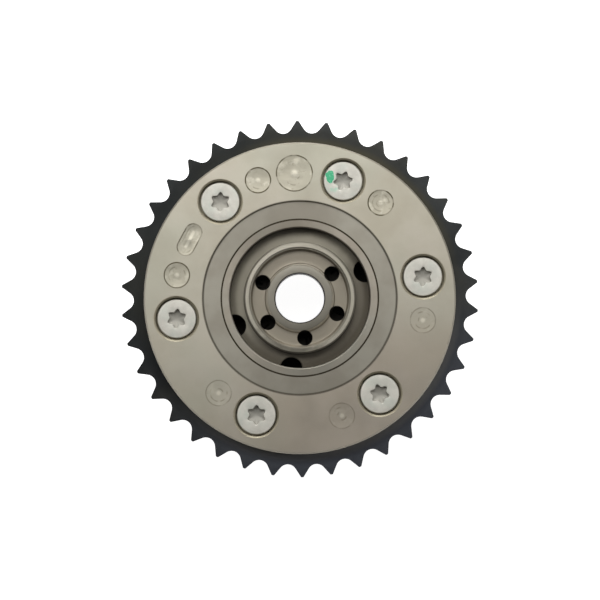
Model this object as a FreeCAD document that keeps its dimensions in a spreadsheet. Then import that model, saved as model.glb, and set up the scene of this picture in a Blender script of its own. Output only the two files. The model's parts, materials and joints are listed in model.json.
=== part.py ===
import FreeCAD, Part
import math
import os
from types import SimpleNamespace

import Sketcher
from FreeCAD import Placement, Rotation, Vector

# Cam phaser: a vaned rotor inside a toothed housing, closed by a plate on each end.
# The camshaft side faces up, the bias spring side faces down and rests on its cap.
# The cam axis is the Z axis, and the origin is where it meets the resting plane.

doc = FreeCAD.newDocument("cam_phaser")
sheet = doc.addObject("Spreadsheet::Sheet", "Sizes")

DRIVING_SIZES = {
    # Levels along the cam axis
    "cap_height": 8.0,
    "plate_thickness": 5.0,
    "housing_length": 18.0,
    "cover_thickness": 5.0,
    # Chain teeth
    "tooth_count": 38,
    "chain_pitch": 8.0,
    "roller_diameter": 5.0,
    "roller_clearance": 0.025,
    "tooth_addendum": 1.0,
    "tip_round": 0.5,
    "tip_flat": 0.08,
    "tooth_width": 4.4,
    "tip_width": 2.4,
    "bevel_start": 0.5,
    "tooth_angle": -3.94,
    # Housing and its lobes, as walls and gaps from the hub outwards
    "lobe_gap": 0.12,
    "slot_wall": 2.58,
    "lobe_wall": 1.0,
    "drum_wall": 3.0,
    "rim_blend": 1.2,
    "lobe_half_angle": 9.5,
    # Bolts and their seats in the cover
    "bolt_count": 6,
    "bolt_angle": 9.7,
    "bolt_radius": 3.0,
    "bolt_hole_gap": 0.3,
    "thread_gap": 0.05,
    "bolt_end_inset": 0.8,
    "head_radius": 5.28,
    "head_height": 2.7,
    "head_bevel": 0.55,
    "head_inset": 0.6,
    "seat_gap": 0.52,
    "seat_chamfer": 0.43,
    "socket_across": 5.07,
    "socket_waist": 3.66,
    "socket_lobe": 0.5,
    "socket_depth": 1.9,
    # Cover on the camshaft side
    "cover_overhang": 1.2,
    "cover_edge_width": 0.4,
    "cover_edge_drop": 0.3,
    "recess_width": 5.1,
    "recess_depth": 0.45,
    "bush_bore": 19.2,
    "bush_wall": 2.3,
    "bush_chamfer": 0.3,
    # Shallow marks on the cover
    "mark_radius": 3.46,
    "mark_offset": 39.9,
    "mark_depth": 0.2,
    "faint_mark_depth": 0.06,
    "crisp_mark_count": 3,
    "large_mark_radius": 4.92,
    "slot_mark_radius": 2.33,
    "slot_mark_angle": 148.4,
    "slot_mark_span": 7.6,
    # Rotor
    "axial_gap": 0.04,
    "hub_radius": 25.0,
    "vane_gap": 0.15,
    "vane_half_angle": 6.0,
    "lock_vane_half_angle": 9.0,
    "lock_offset": 22.8,
    "lip_bore": 13.5,
    "lip_wall": 1.9,
    "lip_drop": 0.6,
    "lip_round": 0.5,
    "groove_width": 4.3,
    "groove_drop": 3.0,
    "seat_ring_drop": 2.5,
    "seat_ring_chamfer": 0.35,
    "centre_bore": 6.75,
    "web_thickness": 7.0,
    "head_recess_radius": 10.2,
    "boss_wall": 3.7,
    "boss_gap": 0.06,
    "boss_lift": 0.5,
    "oil_hole_radius": 2.04,
    "oil_hole_side": 0.42,
    "oil_hole_offset": 27.6,
    "oil_hole_floor": 1.1,
    "drilling_radius": 1.2,
    "drilling_swing": 3.1,
    "feed_lift": 0.9,
    "drain_drop": 10.96,
    "pocket_radius": 3.2,
    "pocket_wall": 2.2,
    "pocket_offset": 13.3,
    "pocket_depth": 8.5,
    # Seals in the vane tips and the lobes
    "seal_slot_width": 2.4,
    "seal_slot_depth": 3.2,
    "seal_height": 2.3,
    "seal_side_gap": 0.05,
    "seal_end_gap": 0.1,
    "seal_tip_gap": 0.06,
    "leaf_thickness": 0.2,
    "leaf_inset": 1.2,
    "leaf_gap": 0.04,
    # Lock pin
    "pin_radius": 2.9,
    "skirt_step": 0.7,
    "pin_gap": 0.05,
    "nose_guide": 4.0,
    "pin_nose_inset": 0.1,
    "pin_nose_chamfer": 0.5,
    "seat_reach": 3.1,
    "pin_travel": 2.02,
    "pin_pocket": 2.3,
    "pin_end_wall": 3.3,
    "plug_step": 0.6,
    "plug_thickness": 1.7,
    "plug_vent": 0.8,
    "lock_seat_wall": 1.55,
    "lock_seat_gap": 0.15,
    "lock_seat_depth": 3.2,
    "lock_spring_wire": 0.3,
    "lock_spring_gap": 0.2,
    "lock_spring_turns": 6,
    "lock_spring_runs": 10,
    # Locating dowels
    "dowel_radius": 1.0,
    "dowel_wall": 0.7,
    "dowel_offset": 8.0,
    "dowel_half_length": 3.0,
    # Bias spring, its anchor and its cap
    "strip_thickness": 1.3,
    "strip_gap": 1.0,
    "coil_gap": 1.7,
    "coil_pitch": 3.6,
    "coil_turns": 2,
    "tang_angle": 40.0,
    "tang_depth": 2.6,
    "tang_gap": 0.2,
    "tang_bend": 1.3,
    "hook_sweep": 200.0,
    "anchor_radius": 1.7,
    "anchor_gap": 0.15,
    "anchor_wall": 1.5,
    "cap_thickness": 1.0,
    "cap_side_gap": 1.1,
    "cap_hole_gap": 1.5,
    "cap_bend": 1.2,
    "cap_flange": 1.6,
    "ear_count": 3,
    "ear_offset": 4.2,
    "ear_radius": 3.6,
    "screw_radius": 1.5,
    "screw_head_radius": 2.8,
    "screw_head_height": 1.7,
    "screw_end_wall": 0.8,
    # Broken edges
    "edge_break": 0.4,
}

# Which way the drive socket of each bolt points, in degrees, from the first bolt on
SOCKET_ANGLES = [27.0, 10.0, 28.0, 24.0, 29.0, 47.0]


class Size:
    # A number that keeps the sheet formula it came from

    def __init__(self, value, formula):
        self.value = value
        self.formula = formula

    def __add__(self, other):
        other = as_size(other)
        return Size(self.value + other.value, f"({self.formula} + {other.formula})")

    def __sub__(self, other):
        other = as_size(other)
        return Size(self.value - other.value, f"({self.formula} - {other.formula})")

    def __mul__(self, other):
        other = as_size(other)
        return Size(self.value * other.value, f"({self.formula} * {other.formula})")

    def __truediv__(self, other):
        other = as_size(other)
        return Size(self.value / other.value, f"({self.formula} / {other.formula})")

    def __neg__(self):
        return Size(-self.value, f"(0 - {self.formula})")


def as_size(number):
    return number if isinstance(number, Size) else Size(float(number), f"({float(number)})")


def sine(angle):
    angle = as_size(angle)
    return Size(math.sin(math.radians(angle.value)), f"sin({angle.formula})")


def cosine(angle):
    angle = as_size(angle)
    return Size(math.cos(math.radians(angle.value)), f"cos({angle.formula})")


def square_root(size):
    return Size(math.sqrt(size.value), f"sqrt({size.formula})")


def polar(radius, angle):
    return as_size(radius) * cosine(angle), as_size(radius) * sine(angle)


def enter_sizes(table):
    sizes = {}
    for row, (name, value) in enumerate(table.items(), start=1):
        sheet.set(f"A{row}", name)
        sheet.set(f"B{row}", str(value))
        sheet.setAlias(f"B{row}", name)
        sizes[name] = Size(value, f"Sizes.{name}")
    return SimpleNamespace(**sizes)


s = enter_sizes(DRIVING_SIZES)
doc.recompute()

# Levels and places that several pieces share
plate_bottom = s.cap_height
plate_top = plate_bottom + s.plate_thickness
housing_top = plate_top + s.housing_length
cover_face = housing_top + s.cover_thickness
recess_face = cover_face - s.recess_depth
rotor_bottom = plate_top + s.axial_gap
rotor_top = housing_top - s.axial_gap
pitch_radius = s.chain_pitch / (sine(as_size(180) / s.tooth_count) * 2)
root_radius = pitch_radius - s.roller_diameter / 2 - s.roller_clearance
tip_radius = pitch_radius + s.tooth_addendum
overshoot = as_size(1)
bolt_step = as_size(360) / s.bolt_count
narrow_vanes = s.bolt_count - 1
narrow_spread = bolt_step * (s.bolt_count - 2)
first_narrow_vane = s.bolt_angle + bolt_step * 2 + s.lock_offset
ear_step = as_size(360) / s.ear_count
first_ear = s.bolt_angle + bolt_step / 2
cover_dowel_turn = as_size(180)
bolt_hole = s.bolt_radius + s.bolt_hole_gap
thread_hole = s.bolt_radius + s.thread_gap
head_top = cover_face - s.head_inset
head_seat = head_top - s.head_height
seat_radius = s.head_radius + s.seat_gap
# Radii from the hub out to the cover's edge
lobe_radius = s.hub_radius + s.lobe_gap
slot_bottom_lobe = lobe_radius + s.seal_slot_depth
bolt_circle = slot_bottom_lobe + s.slot_wall + bolt_hole
chamber_radius = bolt_circle + bolt_hole + s.lobe_wall
vane_radius = chamber_radius - s.vane_gap
slot_bottom_vane = vane_radius - s.seal_slot_depth
drum_radius = chamber_radius + s.drum_wall
cover_radius = drum_radius + s.cover_overhang
dowel_circle = drum_radius - s.dowel_wall - s.dowel_radius
bush_radius = s.bush_bore + s.bush_wall
recess_radius = bush_radius + s.recess_width
# Rotor's lip, groove, holes and boss
lip_radius = s.lip_bore + s.lip_wall
seat_ring_radius = s.lip_bore - s.groove_width
seat_ring_face = cover_face - s.seat_ring_drop
groove_floor = cover_face - s.groove_drop
web_bottom = seat_ring_face - s.web_thickness
oil_hole_circle = s.lip_bore - s.oil_hole_side - s.oil_hole_radius
oil_hole_depth = groove_floor - web_bottom - s.oil_hole_floor
feed_level = web_bottom + s.oil_hole_floor + s.feed_lift
drain_level = rotor_top - s.drain_drop
pocket_circle = s.hub_radius - s.pocket_wall - s.pocket_radius
boss_radius = s.head_recess_radius + s.boss_wall
boss_end = s.cap_thickness + s.boss_lift
plate_bore = boss_radius + s.boss_gap
# Lock pin
lock_angle = s.bolt_angle + bolt_step + s.lock_offset
pin_nose = rotor_top - s.pin_nose_inset
guide_bottom = rotor_top - s.nose_guide
skirt_top = guide_bottom - s.seat_reach - s.pin_nose_inset
plug_top = rotor_bottom + s.plug_thickness
skirt_bottom = plug_top + s.pin_travel
skirt_radius = s.pin_radius + s.skirt_step
plug_radius = skirt_radius + s.plug_step
lock_seat_bore = s.pin_radius + s.lock_seat_gap
lock_seat_radius = lock_seat_bore + s.lock_seat_wall
# Bias spring, its anchor and its cap
strip_lift = s.cap_thickness + s.strip_gap
strip_top = plate_bottom - s.strip_gap
strip_width = strip_top - strip_lift
half_strip = s.strip_thickness / 2
coil_radius = boss_radius + s.coil_gap + half_strip
bend_radius = s.tang_bend + half_strip
hook_radius = s.anchor_radius + s.anchor_gap + half_strip
anchor_circle = coil_radius + s.coil_pitch * s.coil_turns + hook_radius
anchor_bite = s.plate_thickness - s.anchor_wall
cap_radius = anchor_circle + hook_radius + half_strip + s.cap_side_gap + s.cap_thickness
cap_hole = boss_radius + s.cap_hole_gap
ear_circle = cap_radius + s.ear_offset
screw_bite = s.plate_thickness - s.screw_end_wall

parts = {}


def place_point(sketch, geometry, end, point):
    for kind, size in zip(("DistanceX", "DistanceY"), point):
        size = as_size(size)
        index = sketch.addConstraint(
            Sketcher.Constraint(kind, -1, 1, geometry, end, size.value))
        sketch.setExpression(f"Constraints[{index}]", size.formula)


def bind(thing, name, size):
    size = as_size(size)
    setattr(thing, name, size.value)
    thing.setExpression(name, size.formula)


def new_body(label):
    body = doc.addObject("PartDesign::Body", label)
    body.Label = label
    return body


def keep(thing, label):
    thing.Label = label
    parts[label] = thing
    return thing


def new_sketch(body, name, role="XY_Plane", level=0.0, turn=None):
    # The sketch lies on one of the body's own planes, lifted by level and turned about
    # the cam axis, which is the second axis of an upright sketch
    sketch = body.newObject("Sketcher::SketchObject", name)
    plane = next(item for item in body.Origin.OriginFeatures if item.Role == role)
    sketch.AttachmentSupport = [(plane, "")]
    sketch.MapMode = "FlatFace"
    level = as_size(level)
    sketch.AttachmentOffset = Placement(Vector(0, 0, level.value), Rotation())
    if turn is not None:
        turn = as_size(turn)
        cam_axis = Vector(0, 0, 1) if role == "XY_Plane" else Vector(0, 1, 0)
        sketch.AttachmentOffset = Placement(
            Vector(0, 0, level.value), Rotation(cam_axis, turn.value))
        sketch.setExpression("AttachmentOffset.Rotation.Angle", turn.formula)
    sketch.setExpression("AttachmentOffset.Base.z", level.formula)
    return sketch


def add_polygon(sketch, points):
    points = [(as_size(x), as_size(y)) for x, y in points]
    corners = [Vector(x.value, y.value, 0) for x, y in points]
    first = sketch.GeometryCount
    for here, there in zip(corners, corners[1:] + corners[:1]):
        sketch.addGeometry(Part.LineSegment(here, there), False)
    for step in range(len(points)):
        line = first + step
        after = first + (step + 1) % len(points)
        sketch.addConstraint(Sketcher.Constraint("Coincident", line, 2, after, 1))
        place_point(sketch, line, 1, points[step])


def add_circle(sketch, centre, radius):
    x, y = as_size(centre[0]), as_size(centre[1])
    radius = as_size(radius)
    circle = sketch.addGeometry(
        Part.Circle(Vector(x.value, y.value, 0), Vector(0, 0, 1), radius.value), False)
    index = sketch.addConstraint(Sketcher.Constraint("Radius", circle, radius.value))
    sketch.setExpression(f"Constraints[{index}]", radius.formula)
    if x.value == 0 and y.value == 0:
        sketch.addConstraint(Sketcher.Constraint("Coincident", circle, 3, -1, 1))
    else:
        place_point(sketch, circle, 3, (x, y))


def polygon_sketch(body, name, points, **place):
    sketch = new_sketch(body, name, **place)
    add_polygon(sketch, points)
    return sketch


def circle_sketch(body, name, circles, **place):
    sketch = new_sketch(body, name, **place)
    for centre, radius in circles:
        add_circle(sketch, centre, radius)
    return sketch


def slot_sketch(body, name, ends, radius, **place):
    # A half circle round each end point, joined by straight sides
    sketch = new_sketch(body, name, **place)
    radius = as_size(radius)
    centres = [Vector(x.value, y.value, 0) for x, y in ends]
    lean = math.atan2(centres[1].y - centres[0].y, centres[1].x - centres[0].x)
    arcs = []
    for end, centre in enumerate(centres):
        circle = Part.Circle(centre, Vector(0, 0, 1), radius.value)
        start = lean + math.pi * (end + 0.5)
        arc = sketch.addGeometry(Part.ArcOfCircle(circle, start, start + math.pi), False)
        place_point(sketch, arc, 3, ends[end])
        index = sketch.addConstraint(Sketcher.Constraint("Radius", arc, radius.value))
        sketch.setExpression(f"Constraints[{index}]", radius.formula)
        arcs.append(arc)
    across = Vector(math.sin(lean), -math.cos(lean), 0) * radius.value
    for here, there, shift in ((0, 1, across), (1, 0, -across)):
        side = sketch.addGeometry(
            Part.LineSegment(centres[here] + shift, centres[there] + shift), False)
        sketch.addConstraint(Sketcher.Constraint("Tangent", arcs[here], 2, side, 1))
        sketch.addConstraint(Sketcher.Constraint("Tangent", side, 2, arcs[there], 1))
    return sketch


def add_feature(body, kind, name, sketch):
    feature = body.newObject(f"PartDesign::{kind}", name)
    feature.Profile = sketch
    sketch.Visibility = False
    return feature


def pad(body, name, sketch, length):
    feature = add_feature(body, "Pad", name, sketch)
    bind(feature, "Length", length)
    return feature


def pocket(body, name, sketch, depth, upwards=False):
    # A pocket sinks below its sketch, or rises above it where it is cut from underneath
    feature = add_feature(body, "Pocket", name, sketch)
    feature.Reversed = upwards
    bind(feature, "Length", depth)
    return feature


def turn_profile(body, name, points, cut=False, role="XZ_Plane"):
    # A section of radius and level, turned about the cam axis
    sketch = polygon_sketch(body, name + "_section", points, role=role)
    feature = add_feature(body, "Groove" if cut else "Revolution", name, sketch)
    feature.ReferenceAxis = (sketch, ["V_Axis"])
    feature.Angle = 360
    return feature


def round_cut(body, name, angle, points, ends):
    # A section at one angle, cut all the way round the line between the two ends
    sketch = new_sketch(body, name + "_section", role="XZ_Plane", turn=angle)
    add_polygon(sketch, points)
    ends = [(as_size(x), as_size(y)) for x, y in ends]
    axis = sketch.addGeometry(
        Part.LineSegment(*(Vector(x.value, y.value, 0) for x, y in ends)), True)
    place_point(sketch, axis, 1, ends[0])
    place_point(sketch, axis, 2, ends[1])
    feature = add_feature(body, "Groove", name, sketch)
    feature.ReferenceAxis = (sketch, ["Axis0"])
    feature.Angle = 360
    return feature


def bore_cut(body, name, radius, angle, points):
    # The points are distance from the bore's own upright axis, and level
    levels = [as_size(y) for x, y in points]
    low, high = min(levels, key=lambda y: y.value), max(levels, key=lambda y: y.value)
    return round_cut(body, name, angle, [(radius + x, y) for x, y in points],
                     [(radius, low), (radius, high)])


def repeat(body, name, feature, count, angle=360.0):
    pattern = body.newObject("PartDesign::PolarPattern", name)
    pattern.Originals = [feature]
    cam_axis = next(item for item in body.Origin.OriginFeatures if item.Role == "Z_Axis")
    pattern.Axis = (cam_axis, [""])
    bind(pattern, "Angle", angle)
    count = as_size(count)
    pattern.Occurrences = int(round(count.value))
    pattern.setExpression("Occurrences", count.formula)
    body.Tip = pattern
    return pattern


def sector(inner, outer, angle, half_angle):
    # Four corners of a block whose flanks point at the cam axis
    return [polar(inner, angle - half_angle), polar(outer, angle - half_angle),
            polar(outer, angle + half_angle), polar(inner, angle + half_angle)]


def radial_block(inner, outer, angle, width):
    # Four corners of a straight block along one radius
    along = polar(1, angle)
    across = (-sine(angle), cosine(angle))
    half = as_size(width) / 2
    return [(along[0] * r + across[0] * w, along[1] * r + across[1] * w)
            for r, w in ((as_size(inner), -half), (as_size(outer), -half),
                         (as_size(outer), half), (as_size(inner), half))]


def tooth_gap_sketch(body):
    # One gap: the roller seat, a straight flank each side and the rounded tooth tips
    half = as_size(180) / s.tooth_count
    sketch = new_sketch(
        body, "tooth_gap_outline", level=housing_top, turn=s.tooth_angle + half)
    seat = s.roller_diameter / 2 + s.roller_clearance
    tip_centre_radius = tip_radius - s.tip_round + s.tip_flat
    centre = Vector(pitch_radius.value, 0, 0)
    outside = tip_radius + s.tooth_addendum
    up = Vector(0, 0, 1)
    tip_arcs = []
    for side in (1, -1):
        tip_x, tip_y = polar(tip_centre_radius, half * side)
        tip = Vector(tip_x.value, tip_y.value, 0)
        between = tip - centre
        lean = math.asin((seat.value + s.tip_round.value) / between.Length)
        across = Rotation(up, side * math.degrees(math.pi / 2 - lean)).multVec(between)
        across.normalize()
        start = centre + across * seat.value
        end = tip - across * s.tip_round.value
        apex = tip + Vector(tip.x, tip.y, 0).normalize() * s.tip_round.value
        middle_way = ((end - tip).normalize() + (apex - tip).normalize()).normalize()
        middle = tip + middle_way * s.tip_round.value
        tip_arcs.append((start, end, apex, middle, (tip_x, tip_y)))
    upper, lower = tip_arcs
    bottom = centre - Vector(seat.value, 0, 0)
    seat_arc = sketch.addGeometry(
        Part.Arc(upper[0], bottom, lower[0]), False)
    place_point(sketch, seat_arc, 3, (pitch_radius, 0))
    index = sketch.addConstraint(Sketcher.Constraint("Radius", seat_arc, seat.value))
    sketch.setExpression(f"Constraints[{index}]", seat.formula)
    corners = [polar(outside, half), polar(outside, -half)]
    for (start, end, apex, middle, tip_place), corner in zip(tip_arcs, corners):
        sketch.addGeometry(Part.LineSegment(start, end), False)
        arc = sketch.addGeometry(Part.Arc(end, middle, apex), False)
        place_point(sketch, arc, 3, tip_place)
        index = sketch.addConstraint(Sketcher.Constraint("Radius", arc, s.tip_round.value))
        sketch.setExpression(f"Constraints[{index}]", s.tip_round.formula)
        out = Vector(corner[0].value, corner[1].value, 0)
        sketch.addGeometry(Part.LineSegment(apex, out), False)
    outer = [Vector(x.value, y.value, 0) for x, y in corners]
    sketch.addGeometry(Part.LineSegment(outer[0], outer[1]), False)
    return sketch


def build_housing():
    # Toothed housing: drum, six lobes that divide the chambers, bolt holes and seal slots
    body = new_body("toothed_housing")
    rim_bottom = housing_top - s.tooth_width
    middle = housing_top - s.tooth_width / 2
    bevel_radius = root_radius + s.bevel_start
    turn_profile(body, "drum", [
        (chamber_radius, plate_top),
        (drum_radius, plate_top),
        (drum_radius, rim_bottom - s.rim_blend),
        (drum_radius + s.rim_blend, rim_bottom),
        (bevel_radius, rim_bottom),
        (tip_radius, middle - s.tip_width / 2),
        (tip_radius, middle + s.tip_width / 2),
        (bevel_radius, housing_top),
        (chamber_radius, housing_top)])
    lobe = polygon_sketch(
        body, "lobe_outline",
        sector(s.hub_radius - overshoot, chamber_radius + overshoot,
               s.bolt_angle, s.lobe_half_angle),
        level=plate_top)
    first = pad(body, "lobe", lobe, s.housing_length)
    repeat(body, "lobes", first, s.bolt_count)
    turn_profile(body, "lobe_bore", [
        (0, plate_top - overshoot), (lobe_radius, plate_top - overshoot),
        (lobe_radius, housing_top + overshoot), (0, housing_top + overshoot)], cut=True)
    slot = polygon_sketch(
        body, "seal_slot_outline",
        radial_block(lobe_radius - overshoot, slot_bottom_lobe,
                     s.bolt_angle, s.seal_slot_width),
        level=housing_top)
    first = pocket(body, "seal_slot", slot, s.housing_length)
    repeat(body, "seal_slots", first, s.bolt_count)
    holes = circle_sketch(
        body, "bolt_hole_outline", [(polar(bolt_circle, s.bolt_angle), bolt_hole)],
        level=housing_top)
    first = pocket(body, "bolt_hole", holes, s.housing_length)
    repeat(body, "bolt_holes", first, s.bolt_count)
    dowel_hole(body, "cover_dowel_hole", cover_dowel_turn, housing_top)
    dowel_hole(body, "plate_dowel_hole", 0, plate_top, upwards=True)
    gap = add_feature(body, "Pocket", "tooth_gap", tooth_gap_sketch(body))
    bind(gap, "Length", s.tooth_width)
    repeat(body, "tooth_gaps", gap, s.tooth_count)
    keep(body, "toothed_housing")


def dowel_place(turn):
    return polar(dowel_circle, s.bolt_angle + s.dowel_offset + turn)


def dowel_hole(body, name, turn, level, upwards=False):
    outline = circle_sketch(
        body, name + "_outline", [(dowel_place(turn), s.dowel_radius)], level=level)
    pocket(body, name, outline, s.dowel_half_length, upwards=upwards)


def build_cover():
    # Cover on the camshaft side, with bolt seats, shallow marks and a blind lock seat
    body = new_body("cam_side_cover")
    turn_profile(body, "disc", [
        (bush_radius, housing_top),
        (cover_radius, housing_top),
        (cover_radius, cover_face - s.cover_edge_drop),
        (cover_radius - s.cover_edge_width, cover_face),
        (recess_radius, cover_face),
        (recess_radius, recess_face),
        (bush_radius, recess_face)])
    mouth = seat_radius + s.seat_chamfer
    seat = bore_cut(body, "bolt_seat", bolt_circle, s.bolt_angle, [
        (0, housing_top - overshoot), (bolt_hole, housing_top - overshoot),
        (bolt_hole, head_seat), (seat_radius, head_seat),
        (seat_radius, cover_face - s.seat_chamfer), (mouth, cover_face),
        (mouth, cover_face + overshoot), (0, cover_face + overshoot)])
    repeat(body, "bolt_seats", seat, s.bolt_count)
    first = s.bolt_angle + s.mark_offset
    mark = round_mark(body, "crisp_mark", first, s.mark_radius, s.mark_depth)
    repeat(body, "crisp_marks", mark, s.crisp_mark_count,
           angle=bolt_step * (s.crisp_mark_count - 1))
    mark = round_mark(body, "faint_mark", first + bolt_step * s.crisp_mark_count,
                      s.mark_radius, s.faint_mark_depth)
    faint_marks = s.bolt_count - s.crisp_mark_count
    repeat(body, "faint_marks", mark, faint_marks, angle=bolt_step * (faint_marks - 1))
    round_mark(body, "lock_mark", lock_angle, s.large_mark_radius, s.mark_depth)
    ends = [polar(bolt_circle, s.slot_mark_angle + s.slot_mark_span * end) for end in (0, 1)]
    slot = slot_sketch(
        body, "slot_mark_outline", ends, s.slot_mark_radius, level=cover_face)
    pocket(body, "slot_mark", slot, s.mark_depth)
    dowel_hole(body, "dowel_hole", cover_dowel_turn, housing_top, upwards=True)
    seat = circle_sketch(
        body, "lock_seat_outline", [(polar(bolt_circle, lock_angle), lock_seat_radius)],
        level=housing_top)
    pocket(body, "lock_seat_hole", seat, s.lock_seat_depth, upwards=True)
    keep(body, "cam_side_cover")


def round_mark(body, name, angle, radius, depth):
    outline = circle_sketch(
        body, name + "_outline", [(polar(bolt_circle, angle), radius)], level=cover_face)
    return pocket(body, name, outline, depth)


def build_bush():
    # Hardened ring pressed into the cover, where the camshaft collar runs
    body = new_body("cover_bush")
    turn_profile(body, "ring", [
        (s.bush_bore, housing_top), (bush_radius, housing_top),
        (bush_radius, recess_face), (s.bush_bore + s.bush_chamfer, recess_face),
        (s.bush_bore, recess_face - s.bush_chamfer)])
    keep(body, "cover_bush")


def ear_places():
    return [polar(ear_circle, first_ear + ear_step * step)
            for step in range(DRIVING_SIZES["ear_count"])]


def build_front_plate():
    # Plate on the spring side, threaded for the bolts
    body = new_body("front_plate")
    turn_profile(body, "disc", [
        (plate_bore, plate_bottom), (drum_radius - s.edge_break * 2, plate_bottom),
        (drum_radius, plate_bottom + s.edge_break * 2),
        (drum_radius, plate_top), (plate_bore, plate_top)])
    thread = circle_sketch(
        body, "thread_outline", [(polar(bolt_circle, s.bolt_angle), thread_hole)],
        level=plate_top)
    first = pocket(body, "thread_hole", thread, s.plate_thickness)
    repeat(body, "thread_holes", first, s.bolt_count)
    dowel_hole(body, "dowel_hole", 0, plate_top)
    screws = circle_sketch(
        body, "screw_outline", [(place, s.screw_radius + s.thread_gap) for place in ear_places()],
        level=plate_bottom)
    pocket(body, "screw_holes", screws, screw_bite, upwards=True)
    anchor = circle_sketch(
        body, "anchor_outline", [(anchor_place(), s.anchor_radius)], level=plate_bottom)
    pocket(body, "anchor_hole", anchor, anchor_bite, upwards=True)
    keep(body, "front_plate")


def build_rotor():
    # Rotor: hub, five vanes and the broad vane of the lock pin, all in one piece
    body = new_body("rotor")
    round_ = s.lip_round
    lip_face = cover_face - s.lip_drop
    turn_profile(body, "hub", [
        (s.head_recess_radius, boss_end),
        (boss_radius, boss_end),
        (boss_radius, rotor_bottom),
        (s.hub_radius, rotor_bottom),
        (s.hub_radius, rotor_top),
        (lip_radius, rotor_top),
        (lip_radius, lip_face - round_),
        (lip_radius - round_, lip_face),
        (s.lip_bore + round_, lip_face),
        (s.lip_bore, lip_face - round_),
        (s.lip_bore, groove_floor + round_),
        (s.lip_bore - round_, groove_floor),
        (seat_ring_radius + round_, groove_floor),
        (seat_ring_radius, groove_floor + round_),
        (seat_ring_radius, seat_ring_face - s.seat_ring_chamfer),
        (seat_ring_radius - s.seat_ring_chamfer, seat_ring_face),
        (s.centre_bore, seat_ring_face),
        (s.centre_bore, web_bottom),
        (s.head_recess_radius, web_bottom)])
    root = s.hub_radius - overshoot * 2
    beyond = vane_radius + overshoot
    height = rotor_top - rotor_bottom
    vane = polygon_sketch(
        body, "vane_outline",
        sector(root, beyond, first_narrow_vane, s.vane_half_angle), level=rotor_bottom)
    first = pad(body, "vane", vane, height)
    repeat(body, "vanes", first, narrow_vanes, angle=narrow_spread)
    broad = polygon_sketch(
        body, "lock_vane_outline",
        sector(root, beyond, lock_angle, s.lock_vane_half_angle), level=rotor_bottom)
    pad(body, "lock_vane", broad, height)
    turn_profile(body, "vane_tips", [
        (vane_radius, rotor_bottom - overshoot),
        (beyond + overshoot, rotor_bottom - overshoot),
        (beyond + overshoot, rotor_top + overshoot),
        (vane_radius, rotor_top + overshoot)], cut=True)
    slot = polygon_sketch(
        body, "seal_slot_outline",
        radial_block(slot_bottom_vane, beyond, first_narrow_vane,
                     s.seal_slot_width), level=rotor_top)
    first = pocket(body, "seal_slot", slot, height)
    repeat(body, "seal_slots", first, narrow_vanes, angle=narrow_spread)
    first_hole = s.bolt_angle + bolt_step * 2 + s.oil_hole_offset
    oil = circle_sketch(
        body, "oil_hole_outline",
        [(polar(oil_hole_circle, first_hole), s.oil_hole_radius)], level=groove_floor)
    first = pocket(body, "oil_hole", oil, oil_hole_depth)
    repeat(body, "oil_holes", first, narrow_vanes, angle=narrow_spread)
    first_pocket = s.bolt_angle + s.pocket_offset
    pockets = [(polar(pocket_circle, first_pocket + bolt_step * step), s.pocket_radius)
               for step in (0, 3, 4)]
    pocket(body, "face_pockets",
           circle_sketch(body, "face_pocket_outline", pockets, level=rotor_top),
           s.pocket_depth)
    pin_place = polar(bolt_circle, lock_angle)
    guide = circle_sketch(
        body, "pin_guide_outline", [(pin_place, s.pin_radius + s.pin_gap)], level=rotor_top)
    pocket(body, "pin_guide", guide, height)
    bore = circle_sketch(
        body, "pin_bore_outline", [(pin_place, skirt_radius + s.pin_gap)],
        level=rotor_bottom)
    pocket(body, "pin_bore", bore, guide_bottom - rotor_bottom, upwards=True)
    plug = circle_sketch(
        body, "plug_seat_outline", [(pin_place, plug_radius)], level=rotor_bottom)
    pocket(body, "plug_seat", plug, s.plug_thickness, upwards=True)
    tang = polygon_sketch(
        body, "tang_slot_outline",
        radial_block(boss_radius - s.tang_depth, boss_radius + overshoot, s.tang_angle,
                     s.strip_thickness + s.tang_gap * 2), level=boss_end)
    pocket(body, "tang_slot", tang, strip_top - boss_end + s.tang_gap, upwards=True)
    drill(body, "feed_drilling", feed_level, oil_hole_circle,
          first_narrow_vane + s.vane_half_angle + s.drilling_swing)
    drill(body, "drain_drilling", drain_level, s.head_recess_radius - overshoot,
          first_narrow_vane - s.vane_half_angle - s.drilling_swing)
    keep(body, "rotor")


def drill(body, name, level, inner, angle):
    # Radial oil drillings from the hub's rim inwards, one beside each narrow vane
    outer = s.hub_radius + overshoot
    edge = level + s.drilling_radius
    first = round_cut(body, name, angle,
                      [(inner, level), (outer, level), (outer, edge), (inner, edge)],
                      [(inner, level), (outer, level)])
    repeat(body, name + "s", first, narrow_vanes, angle=narrow_spread)


def build_bolts():
    # Six bolts with a six-lobed socket, seated in the cover and threaded into the plate
    body = new_body("bolt_pattern_piece")
    turn_profile(body, "shank_and_head", [
        (0, plate_bottom + s.bolt_end_inset), (s.bolt_radius, plate_bottom + s.bolt_end_inset),
        (s.bolt_radius, head_seat), (s.head_radius, head_seat),
        (s.head_radius, head_top - s.head_bevel / 2),
        (s.head_radius - s.head_bevel, head_top), (0, head_top)])
    outline = polygon_sketch(body, "socket_outline", socket_points(), level=head_top)
    pocket(body, "socket", outline, s.socket_depth)
    doc.recompute()
    copies = []
    for step in range(DRIVING_SIZES["bolt_count"]):
        socket_angle = SOCKET_ANGLES[step % len(SOCKET_ANGLES)]
        angle = s.bolt_angle + bolt_step * step
        copy = body.Shape.copy()
        copy.rotate(Vector(), Vector(0, 0, 1), socket_angle)
        x, y = polar(bolt_circle, angle)
        copy.translate(Vector(x.value, y.value, 0))
        copies.append(copy.Solids[0])
    bolts = doc.addObject("Part::Feature", "socket_bolts")
    bolts.Shape = Part.makeCompound(copies)
    keep(bolts, "socket_bolts")


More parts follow.
